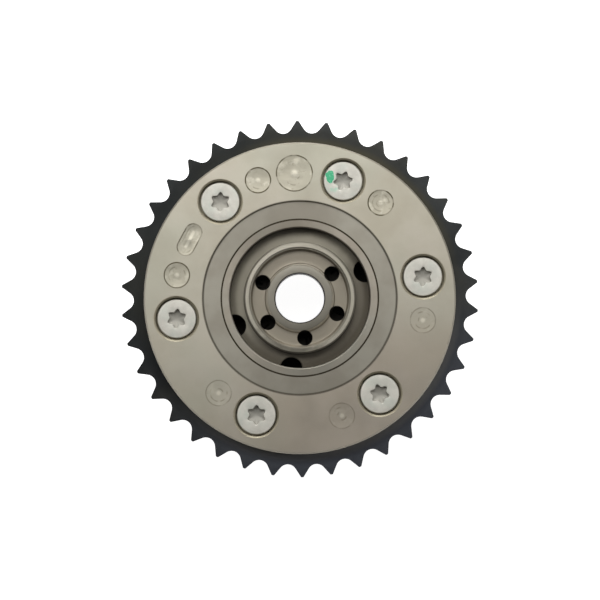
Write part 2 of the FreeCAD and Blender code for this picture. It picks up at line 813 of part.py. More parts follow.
def socket_points():
    # Six lobes, each a round of three straight runs, with one waist point between lobes
    reach = s.socket_across / 2 - s.socket_lobe
    points = []
    for step in range(6):
        turn = 60 * step
        for lean in (-75, -25, 25, 75):
            along = reach + s.socket_lobe * cosine(lean)
            across = s.socket_lobe * sine(lean)
            points.append((along * cosine(turn) - across * sine(turn),
                           along * sine(turn) + across * cosine(turn)))
        points.append(polar(s.socket_waist / 2, turn + 30))
    return points


def build_dowels():
    # Short dowels that line up the housing with the plate and with the cover
    solids = []
    for turn, level in ((0, plate_top), (cover_dowel_turn, housing_top)):
        x, y = dowel_place(turn)
        low = level - s.dowel_half_length
        solids.append(Part.makeCylinder(
            s.dowel_radius.value, 2 * s.dowel_half_length.value,
            Vector(x.value, y.value, low.value)))
    dowels = doc.addObject("Part::Feature", "locating_dowels")
    dowels.Shape = Part.makeCompound(solids)
    keep(dowels, "locating_dowels")


def build_lock_pin():
    # Hollow pin: the nose drops into the seat in the cover, the skirt slides in the vane
    body = new_body("lock_pin")
    turn_profile(body, "shell", [
        (s.pin_pocket, skirt_bottom), (skirt_radius, skirt_bottom),
        (skirt_radius, skirt_top), (s.pin_radius, skirt_top),
        (s.pin_radius, pin_nose - s.pin_nose_chamfer),
        (s.pin_radius - s.pin_nose_chamfer, pin_nose),
        (0, pin_nose), (0, pin_nose - s.pin_end_wall), (s.pin_pocket, pin_nose - s.pin_end_wall)])
    move_to_lock(body)
    keep(body, "lock_pin")


def move_body(thing, place, level=0.0):
    x, y = place
    thing.Placement = Placement(Vector(x.value, y.value, level), Rotation())
    thing.setExpression("Placement.Base.x", x.formula)
    thing.setExpression("Placement.Base.y", y.formula)


def move_to_lock(thing, level=0.0):
    move_body(thing, polar(bolt_circle, lock_angle), level)


def build_plug():
    # Disc that closes the pin's bore and carries its spring, with a vent
    body = new_body("lock_pin_plug")
    turn_profile(body, "disc", [
        (s.plug_vent, rotor_bottom), (plug_radius, rotor_bottom),
        (plug_radius, plug_top), (s.plug_vent, plug_top)])
    move_to_lock(body)
    keep(body, "lock_pin_plug")


def build_lock_seat():
    # Hardened ring pressed into the cover, behind the large mark
    body = new_body("lock_pin_seat")
    turn_profile(body, "ring", [
        (lock_seat_bore, housing_top), (lock_seat_radius, housing_top),
        (lock_seat_radius, housing_top + s.lock_seat_depth),
        (lock_seat_bore, housing_top + s.lock_seat_depth)])
    move_to_lock(body)
    keep(body, "lock_pin_seat")


def build_lock_spring():
    # Coil spring between the plug and the pin's end wall, in short straight runs
    half = s.lock_spring_wire.value
    low = plug_top.value + half
    high = pin_nose.value - s.pin_end_wall.value - half
    radius = s.pin_pocket.value - s.lock_spring_gap.value - half
    corners = ((-half, -half), (half, -half), (half, half), (-half, half))
    runs = int(s.lock_spring_turns.value * s.lock_spring_runs.value)
    sections = []
    for step in range(runs + 1):
        out = unit(360 * step / s.lock_spring_runs.value)
        level = (high - low) * step / runs
        sections.append([out * (radius + x) + Vector(0, 0, level + y) for x, y in corners])
    faces = [flat_face(sections[0]), flat_face(sections[-1])]
    for here, there in zip(sections, sections[1:]):
        for near, far in ((0, 1), (1, 2), (2, 3), (3, 0)):
            faces.append(flat_face([here[near], here[far], there[far]]))
            faces.append(flat_face([here[near], there[far], there[near]]))
    coil = Part.Solid(Part.makeShell(faces))
    if coil.Volume < 0:
        coil.reverse()
    spring = doc.addObject("Part::Feature", "lock_pin_spring")
    spring.Shape = coil
    move_to_lock(spring, low)
    keep(spring, "lock_pin_spring")


def flat_face(points):
    return Part.Face(Part.makePolygon(points + points[:1]))


def seal_body(label, inner, outer, angle):
    body = new_body(label)
    width = s.seal_slot_width - s.seal_side_gap * 2
    outline = polygon_sketch(
        body, "bar_outline", radial_block(inner, outer, 0, width),
        level=plate_top + s.seal_end_gap)
    pad(body, "bar", outline, s.housing_length - s.seal_end_gap * 2)
    turn_about_axis(body, angle)
    keep(body, label)


def leaf_spring(label, seat, bar, angle, outwards):
    # Bent leaf: its ends rest on the slot's bottom and its middle presses on the bar
    ends = seat + s.leaf_gap * outwards
    middle = bar - s.leaf_gap * outwards
    thick = s.leaf_thickness * outwards
    low = plate_top + s.leaf_inset
    high = housing_top - s.leaf_inset
    rise = (high - low) / 3
    width = s.seal_slot_width - s.seal_side_gap * 4
    body = new_body(label)
    outline = polygon_sketch(body, "leaf_outline", [
        (ends, low), (middle - thick, low + rise), (middle - thick, high - rise), (ends, high),
        (ends + thick, high), (middle, high - rise), (middle, low + rise),
        (ends + thick, low)], role="XZ_Plane", level=-width / 2)
    pad(body, "leaf", outline, width)
    turn_about_axis(body, angle)
    keep(body, label)


def turn_about_axis(thing, angle):
    thing.Placement = Placement(Vector(), Rotation(Vector(0, 0, 1), angle.value))
    thing.setExpression("Placement.Rotation.Angle", angle.formula)


def build_seals():
    # Seal bars and their leaf springs in the lobes, and in the five narrow vanes
    for step in range(DRIVING_SIZES["bolt_count"]):
        angle = s.bolt_angle + bolt_step * step
        tip = s.hub_radius + s.seal_tip_gap
        seal_body(f"lobe_seal_{step + 1}", tip, tip + s.seal_height, angle)
        leaf_spring(f"lobe_seal_spring_{step + 1}", slot_bottom_lobe,
                    tip + s.seal_height, angle, -1)
    for step in range(DRIVING_SIZES["bolt_count"] - 1):
        angle = first_narrow_vane + bolt_step * step
        tip = chamber_radius - s.seal_tip_gap
        seal_body(f"vane_seal_{step + 1}", tip - s.seal_height, tip, angle)
        leaf_spring(f"vane_seal_spring_{step + 1}", slot_bottom_vane,
                    tip - s.seal_height, angle, 1)


def unit(angle):
    return Vector(math.cos(math.radians(angle)), math.sin(math.radians(angle)), 0)


def spring_path():
    # Centre line of the strip as runs and arcs: tang, bend, growing half turns and hook.
    # A run is its two ends. An arc is its centre, radius, first angle and sweep.
    inner = boss_radius.value - s.tang_depth.value + s.tang_gap.value
    radius = coil_radius.value
    bend = bend_radius.value
    run = math.sqrt((radius - bend) ** 2 - bend ** 2)
    angle = math.degrees(math.atan2(bend, run))
    down = -90
    path = [("run", Vector(inner, 0, 0), Vector(run, 0, 0)),
            ("arc", Vector(run, bend, 0), bend, down, angle - down)]
    centre = Vector()
    grow = s.coil_pitch.value / 2
    for step in range(2 * int(s.coil_turns.value)):
        path.append(("arc", centre, radius, angle, 180))
        angle += 180
        centre = centre - unit(angle) * grow
        radius += grow
    anchor = unit(angle) * anchor_circle.value
    path.append(("arc", anchor, hook_radius.value, angle + 180, -s.hook_sweep.value))
    return path


def beside(path, shift):
    # The path's edges moved sideways by shift, to the left where it is positive
    edges = []
    for kind, *piece in path:
        if kind == "run":
            start, end = piece
            along = (end - start).normalize()
            left = Vector(-along.y, along.x, 0) * shift
            edges.append(Part.makeLine(start + left, end + left))
        else:
            centre, radius, angle, sweep = piece
            radius -= shift if sweep > 0 else -shift
            points = [centre + unit(angle + sweep * part) * radius for part in (0, 0.5, 1)]
            edges.append(Part.Arc(*points).toShape())
    return edges


def anchor_place():
    # After whole turns the strip ends on the line from the cam axis to the tang's bend
    across = bend_radius / (coil_radius - bend_radius)
    along = square_root(as_size(1) - across * across)
    x, y = anchor_circle * along, anchor_circle * across
    return (x * cosine(s.tang_angle) - y * sine(s.tang_angle),
            x * sine(s.tang_angle) + y * cosine(s.tang_angle))


def build_bias_spring():
    # Flat spiral spring: its tang sits in the boss and its hook goes round the anchor pin
    path = spring_path()
    left = beside(path, half_strip.value)
    right = beside(path, -half_strip.value)
    ends = [Part.makeLine(left[0].firstVertex(True).Point, right[0].firstVertex(True).Point),
            Part.makeLine(left[-1].lastVertex(True).Point, right[-1].lastVertex(True).Point)]
    outline = Part.Wire(Part.__sortEdges__(left + right + ends))
    spring = doc.addObject("Part::Feature", "bias_spring")
    spring.Shape = Part.Face(outline).extrude(Vector(0, 0, strip_width.value))
    spring.Placement = Placement(
        Vector(0, 0, strip_lift.value), Rotation(Vector(0, 0, 1), s.tang_angle.value))
    keep(spring, "bias_spring")


def build_anchor():
    # Pin pressed into the plate, which holds the outer end of the bias spring
    body = new_body("spring_anchor_pin")
    low = strip_lift - s.edge_break
    turn_profile(body, "pin", [
        (0, low), (s.anchor_radius - s.edge_break, low), (s.anchor_radius, low + s.edge_break),
        (s.anchor_radius, plate_bottom + anchor_bite), (0, plate_bottom + anchor_bite)])
    move_body(body, anchor_place())
    keep(body, "spring_anchor_pin")


def build_spring_cap():
    # Pressed cap over the spring, screwed to the plate by three ears
    body = new_body("spring_cap")
    thick = s.cap_thickness
    bend = s.cap_bend
    wall = cap_radius
    turn_profile(body, "dish", [
        (cap_hole, 0), (wall - bend, 0), (wall, bend),
        (wall, plate_bottom - thick), (wall + s.cap_flange, plate_bottom - thick),
        (wall + s.cap_flange, plate_bottom), (wall - thick, plate_bottom),
        (wall - thick, thick), (cap_hole, thick)])
    outline = new_sketch(body, "ear_outline", level=plate_bottom - thick)
    add_circle(outline, polar(ear_circle, first_ear), s.ear_radius)
    ear = pad(body, "ear", outline, thick)
    repeat(body, "ears", ear, s.ear_count)
    screw = circle_sketch(
        body, "screw_outline",
        [(polar(ear_circle, first_ear), s.screw_radius + s.bolt_hole_gap)],
        level=plate_bottom)
    hole = pocket(body, "screw_hole", screw, thick)
    repeat(body, "screw_holes", hole, s.ear_count)
    keep(body, "spring_cap")


def build_cap_screws():
    # Three flat-headed screws that hold the cap
    solids = []
    seat = plate_bottom - s.cap_thickness
    length = s.cap_thickness + screw_bite
    for x, y in ear_places():
        base = Vector(x.value, y.value, seat.value)
        shank = Part.makeCylinder(s.screw_radius.value, length.value, base)
        head = Part.makeCylinder(
            s.screw_head_radius.value, s.screw_head_height.value, base, Vector(0, 0, -1))
        solids.append(shank.fuse(head).removeSplitter().Solids[0])
    screws = doc.addObject("Part::Feature", "cap_screws")
    screws.Shape = Part.makeCompound(solids)
    keep(screws, "cap_screws")


def check_and_write():
    doc.recompute()
    for thing in doc.Objects:
        faults = [word for word in thing.State if word in ("Invalid", "Error")]
        if faults:
            raise RuntimeError(f"{thing.Label} is {faults}")
    for label, thing in parts.items():
        if thing.Shape.isNull() or not thing.Shape.isValid() or not thing.Shape.Solids:
            raise RuntimeError(f"{label} has no valid shape")
    os.makedirs("parts", exist_ok=True)
    for label, thing in parts.items():
        thing.Shape.exportStep(f"parts/{label}.step")
        print(label, len(thing.Shape.Solids), "solids", round(thing.Shape.Volume, 1), "mm3")


build_housing()
build_cover()
build_bush()
build_front_plate()
build_rotor()
build_bolts()
build_dowels()
build_lock_pin()
build_plug()
build_lock_seat()
build_lock_spring()
build_seals()
build_bias_spring()
build_anchor()
build_spring_cap()
build_cap_screws()
check_and_write()
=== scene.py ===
import json
import math

import bmesh
import bpy
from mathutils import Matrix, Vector, noise


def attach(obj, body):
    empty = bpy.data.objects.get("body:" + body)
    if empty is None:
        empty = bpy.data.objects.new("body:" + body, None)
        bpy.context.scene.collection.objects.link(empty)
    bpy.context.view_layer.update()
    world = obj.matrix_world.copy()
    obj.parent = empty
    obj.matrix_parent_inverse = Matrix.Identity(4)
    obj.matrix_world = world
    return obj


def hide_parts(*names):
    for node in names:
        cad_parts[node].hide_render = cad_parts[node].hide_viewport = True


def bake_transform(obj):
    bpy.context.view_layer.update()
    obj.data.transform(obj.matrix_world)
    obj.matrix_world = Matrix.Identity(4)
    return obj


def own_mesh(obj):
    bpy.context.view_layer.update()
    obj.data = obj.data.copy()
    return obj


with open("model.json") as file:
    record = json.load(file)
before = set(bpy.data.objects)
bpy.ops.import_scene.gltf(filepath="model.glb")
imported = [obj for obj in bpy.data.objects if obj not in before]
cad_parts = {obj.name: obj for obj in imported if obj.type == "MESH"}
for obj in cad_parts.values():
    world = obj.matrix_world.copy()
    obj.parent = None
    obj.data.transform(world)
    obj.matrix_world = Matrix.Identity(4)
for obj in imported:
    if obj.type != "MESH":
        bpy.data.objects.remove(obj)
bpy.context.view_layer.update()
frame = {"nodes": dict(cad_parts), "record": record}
cadNodes = frame["nodes"]
print("stage: frame loaded,", len(cadNodes), "CAD nodes")

mm = 0.001
faceLevel = 36.0        # the cover's outer face, in mm above the floor
boltCircle = 34.2       # bolts and round marks all lie on this circle
firstBolt = 9.7         # angles are in degrees from +X
boltCount = 6
boltStep = 360.0 / boltCount
lockAngle = 92.5        # the broad vane with the lock pin
sharpAngle = math.radians(34)   # edges sharper than this stay sharp, and get a bevel
flatAngle = math.radians(0.6)   # faces flatter than this are joined
seam = 0.1              # mm over which one tint gives way to the next


def spotOn(radius, angle):
    turn = math.radians(angle)
    return radius * math.cos(turn), radius * math.sin(turn)


# Node materials, with every length in mm

class Nodes:
    def __init__(self, name):
        self.material = bpy.data.materials.new(name)
        self.material.use_nodes = True
        self.tree = self.material.node_tree
        self.shader = self.tree.nodes["Principled BSDF"]
        coords = self.tree.nodes.new("ShaderNodeTexCoord").outputs["Object"]
        self.spot = self.vector("MULTIPLY", coords, (1000.0, 1000.0, 1000.0))
        self.flat = self.vector("MULTIPLY", self.spot, (1.0, 1.0, 0.0))
        split = self.tree.nodes.new("ShaderNodeSeparateXYZ")
        self.tree.links.new(self.spot, split.inputs[0])
        self.x, self.y, self.level = split.outputs
        self.radius = self.vector("LENGTH", self.flat)
        self.angle = self.math("ARCTAN2", self.y, self.x)

    def add(self, kind, inputs=None, output=0, **settings):
        node = self.tree.nodes.new("ShaderNode" + kind)
        for key, value in settings.items():
            setattr(node, key, value)
        for key, value in (inputs or {}).items():
            self.feed(node.inputs[key], value)
        return node.outputs[output]

    def feed(self, socket, value):
        if isinstance(value, bpy.types.NodeSocket):
            self.tree.links.new(value, socket)
        else:
            socket.default_value = value

    def math(self, operation, first, second=0.0, third=0.0):
        return self.add("Math", {0: first, 1: second, 2: third}, operation=operation)

    def vector(self, operation, first, second=(0.0, 0.0, 0.0)):
        output = "Value" if operation in ("LENGTH", "DISTANCE", "DOT_PRODUCT") else "Vector"
        return self.add("VectorMath", {0: first, 1: second}, output, operation=operation)

    def noise(self, size, detail=3.0, rough=0.5, place=None, shift=0.0):
        # size is the width of a blotch in mm
        place = self.spot if place is None else place
        place = self.vector("ADD", place, (shift, shift * 0.7, shift * 1.3))
        return self.add("TexNoise", {"Vector": place, "Scale": 1.0 / size, "Detail": detail,
                                     "Roughness": rough}, "Fac")

    def span(self, value, low, high, newLow=0.0, newHigh=1.0, smooth=True):
        return self.add("MapRange", {
            "Value": value, "From Min": low, "From Max": high,
            "To Min": newLow, "To Max": newHigh}, "Result",
            interpolation_type="SMOOTHSTEP" if smooth else "LINEAR", clamp=True)

    def above(self, value, edge, blur):
        # 0 up to the edge, 1 past it
        return self.span(value, edge, edge + blur)

    def below(self, value, edge, blur, top=1.0):
        # top up to the edge, 0 past it
        return self.span(value, edge, edge + blur, top, 0.0)

    def mix(self, amount, first, second):
        return self.add("Mix", {0: amount, 6: first, 7: second}, 2, data_type="RGBA")

    def times(self, *values):
        result = values[0]
        for value in values[1:]:
            result = self.math("MULTIPLY", result, value)
        return result

    def plus(self, *values):
        result = values[0]
        for value in values[1:]:
            result = self.math("ADD", result, value)
        return result

    def most(self, *values):
        result = values[0]
        for value in values[1:]:
            result = self.math("MAXIMUM", result, value)
        return result

    def wander(self, size, amount):
        # Noise that swings evenly to both sides of 0
        return self.times(self.math("SUBTRACT", self.noise(size), 0.5), amount)

    def toward(self, angle):
        # 1 on that side of the axis, -1 on the opposite side
        way = self.vector("NORMALIZE", self.flat)
        return self.vector("DOT_PRODUCT", way, spotOn(1.0, angle) + (0.0,))

    def fromSpot(self, x, y):
        return self.vector("DISTANCE", self.flat, (x, y, 0.0))

    def fromNearest(self, circle, first, count):
        # Distance from the nearest of the spots spaced evenly round a circle
        half = math.pi / count
        turned = self.math("SUBTRACT", self.angle, math.radians(first))
        folded = self.math("WRAP", turned, half, -half)
        across = self.times(self.radius, 2.0 * circle, self.math("COSINE", folded))
        square = self.plus(self.times(self.radius, self.radius), circle * circle)
        return self.math("SQRT", self.math("SUBTRACT", square, across))

    def fromSlot(self, first, last):
        # Distance from the straight line between two spots
        along = Vector((last[0] - first[0], last[1] - first[1], 0.0))
        reach = self.vector("SUBTRACT", self.flat, (first[0], first[1], 0.0))
        share = self.math("DIVIDE", self.vector("DOT_PRODUCT", reach, tuple(along)),
                          along.length_squared)
        share = self.span(share, 0.0, 1.0, smooth=False)
        foot = self.add("VectorMath", {0: tuple(along), 3: share}, operation="SCALE")
        return self.vector("DISTANCE", reach, foot)

    def line(self, value, centre, width, blur):
        # 1 on a band of that width, falling to 0 over blur on each side
        off = self.math("ABSOLUTE", self.math("SUBTRACT", value, centre))
        return self.span(off, width / 2, width / 2 + blur, 1.0, 0.0)

    def bump(self, height, strength=1.0):
        # height in mm
        return self.add("Bump", {"Height": height, "Strength": strength, "Distance": mm},
                        "Normal")

    def radialTangent(self):
        return self.add("Tangent", {}, 0, direction_type="RADIAL", axis="Z")


def rgb(red, green, blue):
    # Screen colour, 0 to 255, as the linear colour that a shader takes
    parts = [c / 255 for c in (red, green, blue)]
    return tuple(c / 12.92 if c <= 0.04045 else ((c + 0.055) / 1.055) ** 2.4
                 for c in parts) + (1.0,)


def clouded(n, look):
    # Base colour of a metal: broad clouds, a second tint and fine specks
    cloud = n.noise(look["cloudSize"], 4.0, 0.55)
    base = n.mix(n.span(cloud, 0.32, 0.68), look["dark"], look["light"])
    tint = n.noise(look["cloudSize"] * 1.6, 2.0, 0.5, shift=31.0)
    base = n.mix(n.span(tint, 0.4, 0.7, 0.0, look["tintAmount"]), base, look["tint"])
    speck = n.noise(look["grainSize"], 2.0, 0.7)
    return n.mix(n.span(speck, 0.6, 0.78, 0.0, look["speckAmount"]), base, look["speck"])


def surface(n, look):
    # Height of the lathe lines and the grain, in mm
    lathePlace = n.add("CombineXYZ", {0: n.radius, 1: 0.0, 2: 0.0})
    rings = n.noise(look["ringSize"], 3.0, 0.6, place=lathePlace)
    grain = n.noise(look["grainSize"], 3.0, 0.6)
    return n.plus(n.times(rings, look["ringDepth"]), n.times(grain, look["grainDepth"]))


def finishMetal(n, look, base, height):
    rough = n.span(n.noise(look["cloudSize"] * 0.6, 3.0, 0.5), 0.3, 0.7,
                   look["roughness"] - 0.05, look["roughness"] + 0.05)
    n.feed(n.shader.inputs["Base Color"], base)
    n.feed(n.shader.inputs["Roughness"], rough)
    n.feed(n.shader.inputs["Normal"], n.bump(height))
    n.shader.inputs["Metallic"].default_value = look["metallic"]
    n.shader.inputs["Specular IOR Level"].default_value = look.get("specular", 0.5)
    if look.get("anisotropic"):
        n.shader.inputs["Anisotropic"].default_value = look["anisotropic"]
        n.feed(n.shader.inputs["Tangent"], n.radialTangent())
    return n.material


def plainMetal(name, look):
    n = Nodes(name)
    return finishMetal(n, look, clouded(n, look), surface(n, look))


# Cover: ground face, turned recess with painted shade toward the top and bottom, seats of a
# slightly darker tint, a painted edge glint and shallow marks with painted shade and highlights

coverLook = {
    "light": rgb(180, 174, 160), "dark": rgb(170, 164, 148), "tint": rgb(166, 165, 150),
    "tintAmount": 0.55, "speck": rgb(158, 152, 136), "speckAmount": 0.3, "cloudSize": 15.0,
    "grainSize": 0.45, "ringSize": 0.5, "ringDepth": 0.0035, "grainDepth": 0.006,
    "roughness": 0.52, "metallic": 0.85, "anisotropic": 0.2,
    "warm": rgb(162, 145, 134), "warmSide": 296.0, "warmAmount": 0.3,
    "recess": rgb(146, 141, 129), "recessLight": rgb(156, 152, 140), "recessRadius": 26.6,
    "bushRadius": 21.5, "grimeAndShade": rgb(52, 46, 34), "seatMouth": 6.23,
    "seatTone": rgb(170, 163, 143), "paintedDark": rgb(104, 98, 86), "paintedDarkTop": 106.0,
    "paintedDarkLow": 268.0, "paintedDarkAmount": 0.3, "edge": rgb(202, 196, 181),
    "edgeShadeTop": rgb(142, 137, 124), "edgeGlintSide": 262.0, "edgeFrom": 42.2, "pitGap": 5.0,
    "pitRadius": 0.16, "pitAmount": 0.55, "jointWidth": 0.34}
# The dark colour darkens the flecks and tool arcs and paints the shade along each mark's rim;
# the pale one is a painted highlight
marks = {
    "line": rgb(88, 82, 64), "inside": rgb(164, 159, 142), "paintedHighlight": rgb(214, 209, 192),
    "gap": 0.03, "rings": 14, "points": 96, "firstRound": 49.6, "markLightSide": 100.0,
    "whole": 0.35, "insideAmount": 0.5, "patchAmount": 0.5, "pipAmount": 0.6,
    "fleckAmount": 0.2, "arcAmount": 0.38, "arcs": ((0.66, 21.0), (0.34, 43.0)),
    "dish": 0.82, "dishCurve": 1.7, "middle": 0.12, "ripple": 0.008, "ripples": 19.0,
    "rough": 0.24, "roughTurns": 0.4, "fine": 0.04, "fineTurns": 1.3, "pip": 0.2,
    "pipSize": 0.16, "least": 0.02, "most": 0.97,
    "crisp": {"angles": (49.6, 109.6, 169.6), "radius": 3.46, "depth": 0.2, "dent": 1.0,
              "shift": 17.0},
    "faint": {"angles": (229.6, 289.6, 349.6), "radius": 3.46, "depth": 0.06, "dent": 0.6},
    "large": {"angles": (lockAngle,), "radius": 4.92, "depth": 0.2, "dent": 1.6,
              "shift": 203.0, "toneAmount": 0.9},
    "slot": {"angles": (148.4, 156.0), "radius": 2.33, "depth": 0.2, "dent": 0.5,
             "shift": 151.0, "toneAmount": 0.7}}


def paintedSheenShade(n, base, look):
    # Painted shade on turned faces toward the top and the bottom, standing in for the
    # reflection pattern of their lathe rings
    upper = n.span(n.toward(look["paintedDarkTop"]), 0.55, 1.0, 0.0, look["paintedDarkAmount"])
    lower = n.span(n.toward(look["paintedDarkLow"]), 0.75, 1.0, 0.0, look["paintedDarkAmount"] * 0.6)
    return n.mix(n.most(upper, lower), base, look["paintedDark"])


def markFlecksAndPaintedLight(n, base, away, kind, strength):
    # A pale tint inside, painted highlights as uneven pale patches and a pale centre spot, dark
    # flecks, short tool arcs, and painted shade along the rim that fades in places
    radius, shift = kind["radius"], kind["shift"]
    inside = n.times(n.below(away, radius - seam, seam), strength)
    base = n.mix(n.times(inside, marks["insideAmount"]), base, marks["inside"])
    # Painted highlights: uneven pale patches and a pale spot at the centre
    patch = n.span(n.noise(2.8, 3.0, 0.55, shift=shift + 9.0), 0.5, 0.7)
    base = n.mix(n.times(inside, patch, marks["patchAmount"]), base, marks["paintedHighlight"])
    pip = n.span(away, radius * 0.08, radius * 0.26, 1.0, 0.0)
    base = n.mix(n.times(pip, marks["pipAmount"]), base, marks["paintedHighlight"])
    fleck = n.span(n.noise(1.1, 2.0, shift=shift + 3.0), 0.62, 0.7)
    base = n.mix(n.times(inside, fleck, marks["fleckAmount"]), base, marks["line"])
    for share, spread in marks["arcs"]:
        arc = n.times(n.line(away, radius * share, 0.12, 0.22),
                      n.span(n.noise(2.6, 1.0, shift=shift + spread), 0.52, 0.64))
        base = n.mix(n.times(arc, marks["arcAmount"]), base, marks["line"])
    # Painted shade along the rim, broken in places
    broken = n.span(n.noise(3.0, 2.0, shift=shift), 0.36, 0.52, 0.25, 1.0)
    outline = n.times(n.line(away, radius, 0.2, 0.15), n.most(broken, marks["whole"]),
                      strength)
    return n.mix(outline, base, marks["line"])


def coverFinish():
    look = coverLook
    n = Nodes("groundCover")
    warm = n.span(n.toward(look["warmSide"]), 0.3, 0.95, 0.0, look["warmAmount"])
    base = n.mix(warm, clouded(n, look), look["warm"])
    height = surface(n, look)
    # The recess, with painted shade toward the top and bottom
    turned = n.mix(n.span(n.noise(9.0, shift=12.0), 0.35, 0.65),
                   look["recess"], look["recessLight"])
    turned = paintedSheenShade(n, turned, look)
    base = n.mix(n.below(n.radius, look["recessRadius"], seam), base, turned)
    # The marks: all six round ones, whose tint, flecks, painted shade and highlights grow
    # stronger toward the top, the large one and the slot
    paintedLightStrength = n.span(n.toward(marks["markLightSide"]), -0.35, 0.62, 0.3, 1.0)
    away = n.fromNearest(boltCircle, marks["firstRound"], boltCount)
    base = markFlecksAndPaintedLight(n, base, away, marks["crisp"], paintedLightStrength)
    away = n.fromSpot(*spotOn(boltCircle, lockAngle))
    base = markFlecksAndPaintedLight(n, base, away, marks["large"], marks["large"]["toneAmount"])
    away = n.fromSlot(*(spotOn(boltCircle, angle) for angle in marks["slot"]["angles"]))
    base = markFlecksAndPaintedLight(n, base, away, marks["slot"], marks["slot"]["toneAmount"])
    # Round the bolt seats, the pits, and the outer edge, which has a painted glint toward the
    # bottom and painted shade toward the top
    seat = n.fromNearest(boltCircle, firstBolt, boltCount)
    # The seats' walls take a slightly darker, yellower tint
    toneAmount = n.below(seat, look["seatMouth"] - 0.05, 0.3, 0.9)
    base = n.mix(toneAmount, base, look["seatTone"])
    pit = n.add("TexVoronoi", {"Vector": n.spot, "Scale": 1.0 / look["pitGap"]}, "Distance",
                feature="F1")
    pitSize = look["pitRadius"] / look["pitGap"]
    pit = n.span(pit, pitSize * 0.5, pitSize, look["pitAmount"], 0.0)
    base = n.mix(n.times(pit, n.span(n.noise(14.0), 0.45, 0.55)), base, look["grimeAndShade"])
    edge = n.times(n.above(n.radius, look["edgeFrom"], 0.15),
                   n.above(n.level, faceLevel - 0.6, 0.2))
    # Painted glint on the edge toward the bottom, painted shade toward the top
    edgeGlint = n.mix(n.span(n.toward(look["edgeGlintSide"]), -0.5, 0.6), look["edgeShadeTop"], look["edge"])
    base = n.mix(edge, base, edgeGlint)
    # A dark joint line at the bush, and painted shade along the recess's step
    joint = n.line(n.radius, look["bushRadius"], look["jointWidth"], seam)
    step = n.times(n.line(n.radius, look["recessRadius"] - 0.08, 0.2, 0.35), 0.7)
    base = n.mix(n.most(joint, step), base, look["grimeAndShade"])
    return finishMetal(n, look, base, height)


# Rotor: machined faces, a cavity floor with painted shade and a painted shadow, painted shade
# in the holes

rotorLook = {
    "light": rgb(170, 164, 150), "dark": rgb(156, 149, 134), "tint": rgb(150, 142, 128),
    "tintAmount": 0.6, "speck": rgb(120, 112, 98), "speckAmount": 0.35, "cloudSize": 9.0,
    "grainSize": 0.4, "ringSize": 0.45, "ringDepth": 0.005, "grainDepth": 0.008,
    "roughness": 0.47, "metallic": 0.8, "anisotropic": 0.2,
    "floor": rgb(144, 139, 125), "floorShade": rgb(114, 108, 96), "groove": rgb(142, 135, 121),
    "lip": rgb(164, 159, 145), "lipHighlight": rgb(180, 174, 160),
    "lipShade": rgb(112, 108, 97), "seatRing": rgb(130, 126, 115), "shade": rgb(16, 13, 8),
    "lipRadius": 15.4, "lipBore": 13.5, "seatRingRadius": 9.2, "hubTop": 30.96,
    "grooveLevel": 33.0, "lipLevel": 35.4, "oilCircle": 11.04, "oilRadius": 2.04,
    "firstOil": 157.3, "pocketCircle": 19.6, "pocketRadius": 3.2,
    "pocketAngles": (23.0, 203.0, 263.0), "floorShadeSide": 308.5, "lipHighlightSide": 128.0,
    "lipShadeSide": 258.0, "boreRadius": 6.75, "underBushShade": rgb(76, 70, 58),
    "underBushShadeFrom": 16.4, "underBushShadeTo": 18.8, "underBushShadeAmount": 0.55, "grooveDish": 0.13,
    "crownFrom": 7.0, "crownDrop": 0.03, "lipFootShadeAmount": 0.6}


